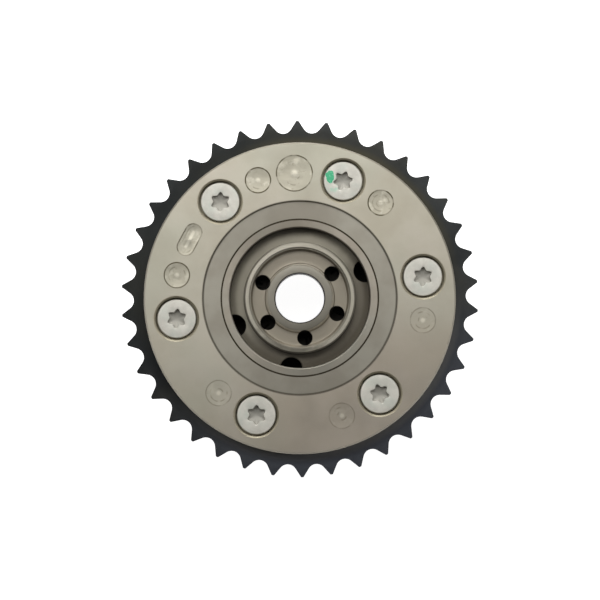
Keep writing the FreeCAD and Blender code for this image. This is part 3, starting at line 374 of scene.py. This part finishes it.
def rotorFinish():
    look = rotorLook
    n = Nodes("machinedRotor")
    base = clouded(n, look)
    height = surface(n, look)
    # The floor of the cavity, with painted shade on its lower right side and a painted shadow
    # under the bush's edge
    shadedSide = n.plus(n.toward(look["floorShadeSide"]), n.wander(6.0, 0.6))
    floor = n.mix(n.span(shadedSide, -0.35, 0.45), look["floor"], look["floorShade"])
    # Painted shadow of the bush's edge on the outer ring of the floor
    underBushShade = n.plus(n.span(n.radius, look["underBushShadeFrom"], look["underBushShadeTo"]),
                     n.wander(3.0, 0.3))
    floor = n.mix(n.times(n.span(underBushShade, 0.0, 1.0), look["underBushShadeAmount"]), floor,
                  look["underBushShade"])
    onFloor = n.times(n.above(n.radius, look["lipRadius"], seam),
                      n.above(n.level, look["hubTop"] - 0.5, 0.4))
    base = n.mix(onFloor, base, floor)
    # The groove, the lip with a painted highlight on its upper left and painted shade on its
    # lower side, and the seat ring
    inGroove = n.times(n.below(n.radius, look["lipBore"], seam),
                       n.above(n.radius, look["seatRingRadius"], 0.2),
                       n.above(n.level, look["grooveLevel"] - 0.3, 0.2))
    base = n.mix(inGroove, base, look["groove"])
    onLip = n.above(n.level, look["lipLevel"] - 0.6, 0.5)
    uneven = n.wander(4.0, 0.7)
    lipHighlightMask = n.span(n.plus(n.toward(look["lipHighlightSide"]), uneven), 0.5, 1.05)
    paintedDark = n.span(n.plus(n.toward(look["lipShadeSide"]), uneven), 0.6, 1.05)
    crest = n.mix(lipHighlightMask, look["lip"], look["lipHighlight"])
    base = n.mix(onLip, base, n.mix(paintedDark, crest, look["lipShade"]))
    onRing = n.times(n.below(n.radius, look["seatRingRadius"] - 0.3, 0.3),
                     n.above(n.level, look["grooveLevel"] + 0.3, 0.18))
    base = n.mix(onRing, base, look["seatRing"])
    # The groove's floor is dished, and the ring's foot is rounded
    middle = (look["lipBore"] + look["seatRingRadius"]) / 2
    half = (look["lipBore"] - look["seatRingRadius"]) / 2
    off = n.math("DIVIDE", n.math("SUBTRACT", n.radius, middle), half)
    dish = n.times(inGroove, n.math("POWER", n.math("ABSOLUTE", off), 4.0),
                   look["grooveDish"])
    crown = n.math("MAXIMUM", n.math("SUBTRACT", n.radius, look["crownFrom"]), 0.0)
    crown = n.times(onRing, crown, crown, -look["crownDrop"])
    height = n.plus(height, dish, crown)
    # Painted shade on the walls of the oil holes, which fill five of six places, of the pockets
    # and bore, and a painted shadow line at the lip's foot
    oil = n.fromNearest(look["oilCircle"], look["firstOil"], 6)
    missing = n.above(n.fromSpot(*spotOn(look["oilCircle"], look["firstOil"] - 60.0)),
                      3.0, seam)
    holes = n.times(n.below(oil, look["oilRadius"] + 0.02, 0.12), missing)
    for angle in look["pocketAngles"]:
        away = n.fromSpot(*spotOn(look["pocketCircle"], angle))
        shade = n.times(n.below(away, look["pocketRadius"] - 0.35, 0.6),
                        n.below(n.level, look["hubTop"] + 0.1, seam))
        holes = n.most(holes, shade)
    lipFootShade = n.times(n.line(n.radius, look["lipRadius"] + 0.02, 0.16, 0.16),
                      look["lipFootShadeAmount"])
    bore = n.below(n.radius, look["boreRadius"] + 0.16, 0.2)
    base = n.mix(n.most(holes, lipFootShade, bore), base, look["shade"])
    return finishMetal(n, look, base, height)


# Bush and the other metals

bushLook = dict(coverLook, light=rgb(160, 153, 141), dark=rgb(148, 141, 128),
                tint=rgb(152, 152, 142), cloudSize=9.0, ringDepth=0.006, roughness=0.52,
                anisotropic=0.4, paintedDarkAmount=0.45, bore=19.2, wallTop=34.6)


def bushFinish():
    n = Nodes("turnedBush")
    # Painted shade toward the top and bottom, as on the cover's recess
    base = paintedSheenShade(n, clouded(n, bushLook), bushLook)
    # A dark joint line, and painted shade on the bore's wall
    joint = n.line(n.radius, bushLook["bushRadius"], bushLook["jointWidth"], seam)
    wall = n.times(n.below(n.radius, bushLook["bore"] + 0.05, 0.2),
                   n.below(n.level, bushLook["wallTop"], 0.6))
    base = n.mix(n.most(joint, wall), base, bushLook["grimeAndShade"])
    return finishMetal(n, bushLook, base, surface(n, bushLook))


housingLook = {
    "light": rgb(52, 54, 54), "dark": rgb(40, 42, 43), "tint": rgb(58, 57, 51),
    "tintAmount": 0.6, "speck": rgb(84, 86, 84), "speckAmount": 0.12, "cloudSize": 11.0,
    "grainSize": 0.3, "ringSize": 0.6, "ringDepth": 0.003, "grainDepth": 0.012,
    "roughness": 0.68, "metallic": 0.08, "specular": 0.15, "paintedLight": rgb(74, 77, 84),
    "paintedLightNear": rgb(118, 118, 118), "paintedLightSide": 292.0, "paintedLightAmount": 0.85,
    "paintedShade": rgb(24, 27, 26), "paintedShadeSide": 148.0, "paintedShadeAmount": 0.55,
    "warm": rgb(66, 62, 46), "warmSide": 62.0, "warmAmount": 0.6, "edgeBand": (43.2, 45.6)}


def housingFinish():
    n = Nodes("blackenedSinter")
    look = housingLook
    base = clouded(n, look)
    # Painted light on the lower right side, lightest near the cover's edge where its shadow
    # falls
    near = n.span(n.radius, *look["edgeBand"], 1.0, 0.0)
    paintedLight = n.span(n.toward(look["paintedLightSide"]), 0.2, 0.95, 0.0, look["paintedLightAmount"])
    base = n.mix(paintedLight, base, n.mix(near, look["paintedLight"], look["paintedLightNear"]))
    # Painted shade toward the upper left
    paintedShade = n.span(n.toward(look["paintedShadeSide"]), 0.2, 0.95, 0.0, look["paintedShadeAmount"])
    base = n.mix(paintedShade, base, look["paintedShade"])
    warm = n.span(n.toward(look["warmSide"]), 0.5, 0.9, 0.0, look["warmAmount"])
    base = n.mix(n.times(near, warm), base, look["warm"])
    return finishMetal(n, look, base, surface(n, look))


plateLook = dict(coverLook, light=rgb(160, 155, 143), dark=rgb(146, 141, 129),
                 tint=rgb(140, 136, 124))
capLook = dict(coverLook, light=rgb(120, 118, 112), dark=rgb(104, 102, 97),
               tint=rgb(112, 106, 96), ringDepth=0.0, roughness=0.5, anisotropic=0.0,
               cloudSize=18.0, grainDepth=0.01)
hardLook = dict(bushLook, light=rgb(180, 180, 178), dark=rgb(166, 166, 164))
springLook = dict(capLook, light=rgb(104, 104, 108), dark=rgb(84, 84, 88), cloudSize=6.0)
sealLook = dict(housingLook, light=rgb(54, 50, 46), dark=rgb(44, 41, 38), metallic=0.0)

# One finish for each material slot of the record
finishes = {
    "black_steel": housingFinish(),
    "cover_steel": coverFinish(),
    "bush_steel": bushFinish(),
    "rotor_steel": rotorFinish(),
    "hard_steel": plainMetal("hardenedPin", hardLook),
    "spring_steel": plainMetal("temperedSpring", springLook),
    "cap_steel": plainMetal("pressedCap", capLook),
    "seal_plastic": plainMetal("sealResin", sealLook)}


# Bolts and screws: plated heads with a six-lobed socket

boltLook = {
    "light": rgb(203, 200, 190), "dark": rgb(190, 187, 177), "tint": rgb(182, 187, 177),
    "tintAmount": 0.5, "speck": rgb(222, 219, 210), "speckAmount": 0.5, "cloudSize": 2.6,
    "grainSize": 0.35, "ringSize": 0.5, "ringDepth": 0.0, "grainDepth": 0.012,
    "roughness": 0.6, "metallic": 0.4,
    "socket": rgb(156, 153, 144), "socketShadeAmount": 0.85, "edge": rgb(222, 219, 210),
    "rimHighlightAmount": 0.12, "smear": rgb(150, 196, 172), "smearAmount": 0.7,
    "smearShift": (-2.6, -1.4), "smearReach": (0.6, 2.4)}
bolts = {
    "end": 8.8, "seat": 32.7, "top": 35.4, "shank": 3.0, "head": 5.28, "bevel": 0.22,
    "lead": 0.5, "fillet": 0.1, "under": 0.12, "mouth": 3.4, "tip": 2.66, "waist": 1.93,
    "depth": 1.3, "segments": 96,
    "turns": (27.0, 10.0, 28.0, 24.0, 29.0, 47.0)}


def boltFinish():
    look = boltLook
    n = Nodes("platedBolt")
    base = clouded(n, look)
    away = n.fromNearest(boltCircle, firstBolt, boltCount)
    # Painted shade inside the sockets
    down = n.below(n.level, bolts["top"] - 0.75, 0.5)
    inSocket = n.times(down, n.below(away, 3.0, 0.2))
    base = n.mix(n.times(inSocket, look["socketShadeAmount"]), base, look["socket"])
    onTop = n.above(n.level, bolts["top"] - 0.3, 0.2)
    # Painted highlight on a thin ring near the head's edge
    rim = n.times(n.line(away, bolts["head"] - 0.45, 0.1, 0.3), onTop)
    base = n.mix(n.times(rim, look["rimHighlightAmount"]), base, look["edge"])
    # Paint smeared beside the green dot
    x, y = spotOn(boltCircle, firstBolt + boltStep)
    away = n.fromSpot(x + look["smearShift"][0], y + look["smearShift"][1])
    smear = n.times(n.span(away, *look["smearReach"], 1.0, 0.0),
                    n.span(n.noise(0.9, 3.0, 0.6), 0.42, 0.6), onTop)
    base = n.mix(n.times(smear, look["smearAmount"]), base, look["smear"])
    return finishMetal(n, look, base, surface(n, look))


finishes["bolt_steel"] = boltFinish()
plateFinish = plainMetal("groundPlate", plateLook)
slots = {row["node"]: row["material_slot"] for row in frame["record"]["subparts"]}
for name, node in cadNodes.items():
    node.data.materials.clear()
    node.data.materials.append(plateFinish if name == "front_plate" else finishes[slots[name]])
print("stage: finishes made")


lobeShape = 1.25        # above 1, a socket's lobes are narrower than the gaps between them


def turnedPiece(mesh, centre, rings, segments, turn=0.0, tip=0.0, waist=0.0):
    # Rings of radius and level from one end to the other. A ring with a third number is
    # the socket's outline at that scale instead of a circle.
    before = None
    for ring in rings:
        radius, level = ring[0] * mm, ring[1] * mm
        if radius == 0:
            here = [mesh.verts.new((centre[0] * mm, centre[1] * mm, level))]
        else:
            here = []
            for step in range(segments):
                angle = 2 * math.pi * step / segments
                reach = radius
                if len(ring) == 3:
                    lobe = (0.5 + 0.5 * math.cos(6 * angle)) ** lobeShape
                    reach = (waist + (tip - waist) * lobe) * ring[2] * mm
                spin = angle + math.radians(turn)
                here.append(mesh.verts.new((centre[0] * mm + reach * math.cos(spin),
                                            centre[1] * mm + reach * math.sin(spin), level)))
        if before:
            for step in range(segments):
                after = (step + 1) % segments
                if len(before) == 1:
                    mesh.faces.new((before[0], here[after], here[step]))
                elif len(here) == 1:
                    mesh.faces.new((before[step], before[after], here[0]))
                else:
                    mesh.faces.new((before[step], before[after], here[after], here[step]))
        before = here


def meshObject(name, mesh, material):
    bmesh.ops.recalc_face_normals(mesh, faces=mesh.faces)
    data = bpy.data.meshes.new(name)
    mesh.to_mesh(data)
    mesh.free()
    data.materials.append(material)
    for face in data.polygons:
        face.use_smooth = True
    thing = bpy.data.objects.new(name, data)
    bpy.context.scene.collection.objects.link(thing)
    return thing


# Softened edges on the carried-over solids

def smoothByAngle():
    group = bpy.data.node_groups.new("smoothByAngle", "GeometryNodeTree")
    group.interface.new_socket("Geometry", in_out="INPUT", socket_type="NodeSocketGeometry")
    group.interface.new_socket("Geometry", in_out="OUTPUT", socket_type="NodeSocketGeometry")
    start = group.nodes.new("NodeGroupInput")
    end = group.nodes.new("NodeGroupOutput")
    faces = group.nodes.new("GeometryNodeSetShadeSmooth")
    faces.domain = "FACE"
    edges = group.nodes.new("GeometryNodeSetShadeSmooth")
    edges.domain = "EDGE"
    edges.inputs["Shade Smooth"].default_value = False
    angle = group.nodes.new("GeometryNodeInputMeshEdgeAngle")
    compare = group.nodes.new("FunctionNodeCompare")
    compare.data_type = "FLOAT"
    compare.operation = "GREATER_THAN"
    compare.inputs[1].default_value = sharpAngle
    link = group.links.new
    link(start.outputs[0], faces.inputs["Geometry"])
    link(faces.outputs[0], edges.inputs["Geometry"])
    link(angle.outputs["Unsigned Angle"], compare.inputs[0])
    link(compare.outputs[0], edges.inputs["Selection"])
    link(edges.outputs[0], end.inputs[0])
    return group


smoothGroup = smoothByAngle()
edgeWidths = {
    "toothed_housing": 0.14, "cam_side_cover": 0.10, "cover_bush": 0.08, "front_plate": 0.12,
    "rotor": 0.14, "spring_cap": 0.12, "bias_spring": 0.1, "spring_anchor_pin": 0.1}


def smoothPiece(node):
    smooth = node.modifiers.new("smooth", "NODES")
    smooth.node_group = smoothGroup
    weighted = node.modifiers.new("flatNormals", "WEIGHTED_NORMAL")
    weighted.keep_sharp = True


def softenEdges(node, width):
    weld = node.modifiers.new("weld", "WELD")
    weld.merge_threshold = 1e-6
    flat = node.modifiers.new("flatFaces", "DECIMATE")
    flat.decimate_type = "DISSOLVE"
    flat.angle_limit = flatAngle
    if width:
        bevel = node.modifiers.new("brokenEdges", "BEVEL")
        bevel.width = width * mm
        bevel.segments = 2
        bevel.limit_method = "ANGLE"
        bevel.angle_limit = sharpAngle
        bevel.use_clamp_overlap = True
    smoothPiece(node)


for name, node in cadNodes.items():
    softenEdges(node, edgeWidths.get(name, 0.0))
print("stage: edges softened")


# Springs: copies of the softened nodes


def springCopy(name, node):
    ready = cadNodes[node].evaluated_get(bpy.context.evaluated_depsgraph_get())
    piece = bpy.data.objects.new(name, bpy.data.meshes.new_from_object(ready))
    bpy.context.scene.collection.objects.link(piece)
    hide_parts(node)
    return piece


def makeSprings():
    # The strip is copied, with its place baked into its mesh
    strip = springCopy("woundStrip", "bias_spring")
    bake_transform(strip)
    # The coil is copied, rides on the rotor and gets a mesh of its own
    coil = springCopy("lockPinCoil", "lock_pin_spring")
    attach(coil, "rotor")
    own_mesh(coil)


makeSprings()
print("stage: springs made")


def makeBolts():
    b = bolts
    mesh = bmesh.new()
    rings = [
        (0, b["end"]), (b["shank"] - b["lead"], b["end"]),
        (b["shank"], b["end"] + b["lead"]), (b["shank"], b["seat"] - b["fillet"]),
        (b["shank"] + b["fillet"], b["seat"]), (b["head"] - b["under"], b["seat"]),
        (b["head"], b["seat"] + b["under"]),
        (b["head"], b["top"] - b["bevel"]),
        (b["head"] - b["bevel"] * 0.3, b["top"] - b["bevel"] * 0.35),
        (b["head"] - b["bevel"] * 0.7, b["top"] - b["bevel"] * 0.1),
        (b["head"] - b["bevel"] * 1.2, b["top"]),
        (b["mouth"], b["top"] - 0.01), (1, b["top"] - 0.01, 1.12), (1, b["top"] - 0.03, 1.05),
        (1, b["top"] - 0.12, 1.0), (1, b["top"] - b["depth"] + 0.1, 0.97),
        (1, b["top"] - b["depth"], 0.9), (0.7, b["top"] - b["depth"] - 0.1),
        (0, b["top"] - b["depth"] - 0.3)]
    for step in range(boltCount):
        centre = spotOn(boltCircle, firstBolt + boltStep * step)
        turnedPiece(mesh, centre, rings, b["segments"], b["turns"][step], b["tip"], b["waist"])
    piece = meshObject("platedBolts", mesh, finishes["bolt_steel"])
    smoothPiece(piece)
    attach(piece, "housing")
    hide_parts("socket_bolts")


screws = {
    "count": 3, "first": 39.7, "circle": 35.4, "seat": 7.0, "head": 2.8, "headHeight": 1.7,
    "shank": 1.5, "tip": 1.25, "waist": 0.9, "depth": 0.9, "end": 12.2,
    "lead": 0.3, "under": 0.1, "segments": 60}


def makeScrews():
    c = screws
    top = c["seat"] - c["headHeight"]
    mesh = bmesh.new()
    rings = [
        (0, c["end"]), (c["shank"] - c["lead"], c["end"]),
        (c["shank"], c["end"] - c["lead"]), (c["shank"], c["seat"]),
        (c["head"] - c["under"], c["seat"]), (c["head"], c["seat"] - c["under"]),
        (c["head"], top + 0.75), (c["head"] - 0.12, top + 0.45), (c["head"] - 0.45, top + 0.16),
        (c["head"] - 0.95, top + 0.02), (1, top, 1.15), (1, top + 0.03, 1.05),
        (1, top + 0.1, 1.0), (1, top + c["depth"] - 0.05, 0.95), (0.3, top + c["depth"]),
        (0, top + c["depth"] + 0.1)]
    for step in range(c["count"]):
        angle = c["first"] + 360 / c["count"] * step
        turnedPiece(mesh, spotOn(c["circle"], angle), rings, c["segments"], angle * 1.7,
                    c["tip"], c["waist"])
    piece = meshObject("capScrewSet", mesh, finishes["bolt_steel"])
    smoothPiece(piece)
    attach(piece, "housing")
    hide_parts("cap_screws")


# Shallow marks in the cover: dished discs seated on the floors of its recesses

def markHeight(x, y, radius, centres, dent, seed):
    # How far the dish stands above the recess's floor, as a share of the depth
    m = marks
    away = min(math.hypot(x - spot[0], y - spot[1]) for spot in centres) / radius
    ripple = m["ripple"] * math.cos(away * m["ripples"] + seed)
    coarse, fine = m["roughTurns"], m["fineTurns"]
    rough = m["rough"] * dent * noise.noise(Vector((x * coarse + seed, y * coarse, seed)))
    rough += m["fine"] * dent * noise.noise(Vector((x * fine, y * fine + seed, seed)))
    pip = m["pip"] * dent * math.exp(-(away / m["pipSize"]) ** 2)
    fade = max(0.0, 1.0 - away ** 6)
    share = m["middle"] + m["dish"] * min(1.0, away) ** m["dishCurve"]
    share += (ripple + rough + pip) * fade
    return min(max(share, m["least"]), m["most"])


def markDisc(mesh, kind, centres, seed):
    # Closed, flat underneath and dished on top, round or long between two centres
    radius = kind["radius"] - marks["gap"]
    bottom = faceLevel - kind["depth"] + 0.003
    first, last = Vector(centres[0]), Vector(centres[-1])
    middle = (first + last) / 2

    def corner(x, y):
        share = markHeight(x, y, radius, centres, kind["dent"], seed)
        level = bottom + share * (kind["depth"] - 0.005)
        return mesh.verts.new((x * mm, y * mm, level * mm))

    loops = []
    for ring in range(1, marks["rings"] + 1):
        part = ring / marks["rings"]
        loop = []
        for step in range(marks["points"]):
            turn = 2 * math.pi * step / marks["points"]
            way = Vector((math.cos(turn), math.sin(turn)))
            end = last if way.dot(last - first) > 0 else first
            spot = middle + (end - middle) * part + way * radius * part
            loop.append(corner(spot.x, spot.y))
        loops.append(loop)
    top = corner(middle.x, middle.y)
    loops.append([mesh.verts.new((v.co.x, v.co.y, bottom * mm)) for v in loops[-1]])
    base = mesh.verts.new((middle.x * mm, middle.y * mm, bottom * mm))
    for step in range(marks["points"]):
        after = (step + 1) % marks["points"]
        mesh.faces.new((top, loops[0][step], loops[0][after]))
        for inner, outer in zip(loops, loops[1:]):
            mesh.faces.new((inner[step], outer[step], outer[after], inner[after]))
        mesh.faces.new((base, loops[-1][after], loops[-1][step]))


def makeMarks():
    for name in ("crisp", "faint", "large", "slot"):
        kind = marks[name]
        spots = [spotOn(boltCircle, angle) for angle in kind["angles"]]
        mesh = bmesh.new()
        for step, centres in enumerate([spots] if name == "slot" else [[s] for s in spots]):
            markDisc(mesh, kind, centres, 7.3 * step + len(name))
        piece = meshObject(name + "MarkFloors", mesh, finishes["cover_steel"])
        smoothPiece(piece)
        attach(piece, "housing")


makeMarks()
print("stage: marks dished")
makeBolts()
makeScrews()
print("stage: bolts and screws made")


# Green check mark painted on one bolt head

paint = {
    "shift": (-3.62, 1.3), "half": (1.15, 1.75), "lean": 8.0, "thick": 0.03, "points": 72,
    "rings": 7, "wave": 0.28, "waves": 1.6, "waveSeed": 4.2, "sink": 0.004,
    "green": rgb(58, 168, 120), "pale": rgb(120, 196, 160)}


def makePaintDot():
    x, y = spotOn(boltCircle, firstBolt + boltStep)
    x, y = x + paint["shift"][0], y + paint["shift"][1]
    lean = math.radians(paint["lean"])
    mesh = bmesh.new()
    top = mesh.verts.new((x * mm, y * mm, (bolts["top"] + paint["thick"]) * mm))
    before = None
    for ring in range(1, paint["rings"] + 1):
        part = ring / paint["rings"]
        here = []
        for step in range(paint["points"]):
            angle = 2 * math.pi * step / paint["points"]
            place = Vector((math.cos(angle), math.sin(angle), paint["waveSeed"]))
            reach = part * (1 + paint["wave"] * noise.noise(place * paint["waves"]))
            across = paint["half"][0] * reach * math.cos(angle)
            along = paint["half"][1] * reach * math.sin(angle)
            height = bolts["top"] + paint["thick"] * (1 - part ** 4) - paint["sink"]
            here.append(mesh.verts.new((
                (x + across * math.cos(lean) - along * math.sin(lean)) * mm,
                (y + across * math.sin(lean) + along * math.cos(lean)) * mm, height * mm)))
        for step in range(paint["points"]):
            after = (step + 1) % paint["points"]
            if before:
                mesh.faces.new((before[step], before[after], here[after], here[step]))
            else:
                mesh.faces.new((top, here[step], here[after]))
        before = here
    n = Nodes("checkPaint")
    paintedHighlight = n.noise(0.7, 3.0, 0.6)
    n.feed(n.shader.inputs["Base Color"],
           n.mix(n.span(paintedHighlight, 0.5, 0.75), paint["green"], paint["pale"]))
    n.shader.inputs["Roughness"].default_value = 0.5
    n.feed(n.shader.inputs["Normal"], n.bump(n.times(n.noise(0.4, 3.0, 0.6), 0.02)))
    piece = meshObject("greenPaintDot", mesh, n.material)
    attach(piece, "housing")


makePaintDot()
print("stage: paint dot made")


# Floor, light and camera

studio = {
    "floorSize": 4.0, "floorDrop": 0.05, "floorGrey": 0.8, "floorRoughness": 0.9,
    "floorSpecular": 0.1, "floorWhite": 0.95, "world": 0.1, "worldTop": 0.04,
    "worldFrom": -0.5, "worldTo": 0.6}
lamps = {
    "keyLight": {"power": 0.73, "size": (0.42, 0.17), "place": (-0.02, 0.16, 0.38)},
    "topLight": {"power": 1.1, "size": (0.3, 0.16), "place": (0.0, 0.36, 0.22)},
    "leftLight": {"power": 0.25, "size": (0.16, 0.16), "place": (-0.26, 0.12, 0.32)},
    "rightLight": {"power": 0.27, "size": (0.16, 0.16), "place": (0.32, 0.01, 0.30)}}


def makeFloor():
    bpy.ops.mesh.primitive_plane_add(size=studio["floorSize"],
                                     location=(0, 0, -studio["floorDrop"] * mm))
    floor = bpy.context.object
    floor.name = "floor"
    n = Nodes("floorWhite")
    n.shader.inputs["Base Color"].default_value = (studio["floorGrey"],) * 3 + (1,)
    n.shader.inputs["Roughness"].default_value = studio["floorRoughness"]
    n.shader.inputs["Specular IOR Level"].default_value = studio["floorSpecular"]
    rays = n.tree.nodes.new("ShaderNodeLightPath").outputs
    seen = n.most(rays["Is Camera Ray"], rays["Is Glossy Ray"], rays["Is Transmission Ray"])
    n.shader.inputs["Emission Color"].default_value = (1, 1, 1, 1)
    n.feed(n.shader.inputs["Emission Strength"], n.times(seen, studio["floorWhite"]))
    floor.data.materials.append(n.material)


def makeWorld():
    world = bpy.data.worlds.new("studio")
    bpy.context.scene.world = world
    world.use_nodes = True
    tree = world.node_tree
    coords = tree.nodes.new("ShaderNodeTexCoord")
    split = tree.nodes.new("ShaderNodeSeparateXYZ")
    span = tree.nodes.new("ShaderNodeMapRange")
    span.interpolation_type = "SMOOTHSTEP"
    span.inputs["From Min"].default_value = studio["worldFrom"]
    span.inputs["From Max"].default_value = studio["worldTo"]
    span.inputs["To Min"].default_value = studio["world"]
    span.inputs["To Max"].default_value = studio["world"] + studio["worldTop"]
    tree.links.new(coords.outputs["Generated"], split.inputs[0])
    tree.links.new(split.outputs["Y"], span.inputs["Value"])
    tree.links.new(span.outputs["Result"], tree.nodes["Background"].inputs["Strength"])
    tree.nodes["Background"].inputs["Color"].default_value = (1, 1, 1, 1)


def makeLamps():
    # Soft boxes that face the origin
    for name, look in lamps.items():
        lamp = bpy.data.lights.new(name, "AREA")
        lamp.energy = look["power"]
        lamp.shape = "RECTANGLE"
        lamp.size, lamp.size_y = look["size"]
        thing = bpy.data.objects.new(name, lamp)
        thing.location = look["place"]
        thing.rotation_euler = (-Vector(look["place"])).to_track_quat("-Z", "Y").to_euler()
        bpy.context.scene.collection.objects.link(thing)


view = {
    "tilt": 2.0, "distance": 450.0, "lens": 98.74, "sensor": 36.0, "shiftX": 0.0003,
    "shiftY": -0.0039}


def makeCamera():
    tilt = math.radians(view["tilt"])
    spot = Vector((0, -math.sin(tilt), math.cos(tilt))) * view["distance"] * mm
    data = bpy.data.cameras.new("camera")
    data.lens = view["lens"]
    data.sensor_width = view["sensor"]
    data.shift_x = view["shiftX"]
    data.shift_y = view["shiftY"]
    camera = bpy.data.objects.new("camera", data)
    camera.location = spot + Vector((0, 0, faceLevel * mm))
    camera.rotation_euler = (tilt, 0, 0)
    bpy.context.scene.collection.objects.link(camera)
    bpy.context.scene.camera = camera


makeFloor()
makeWorld()
makeLamps()
makeCamera()
bpy.context.scene.view_settings.view_transform = "Standard"
print("stage: floor, light and camera ready")
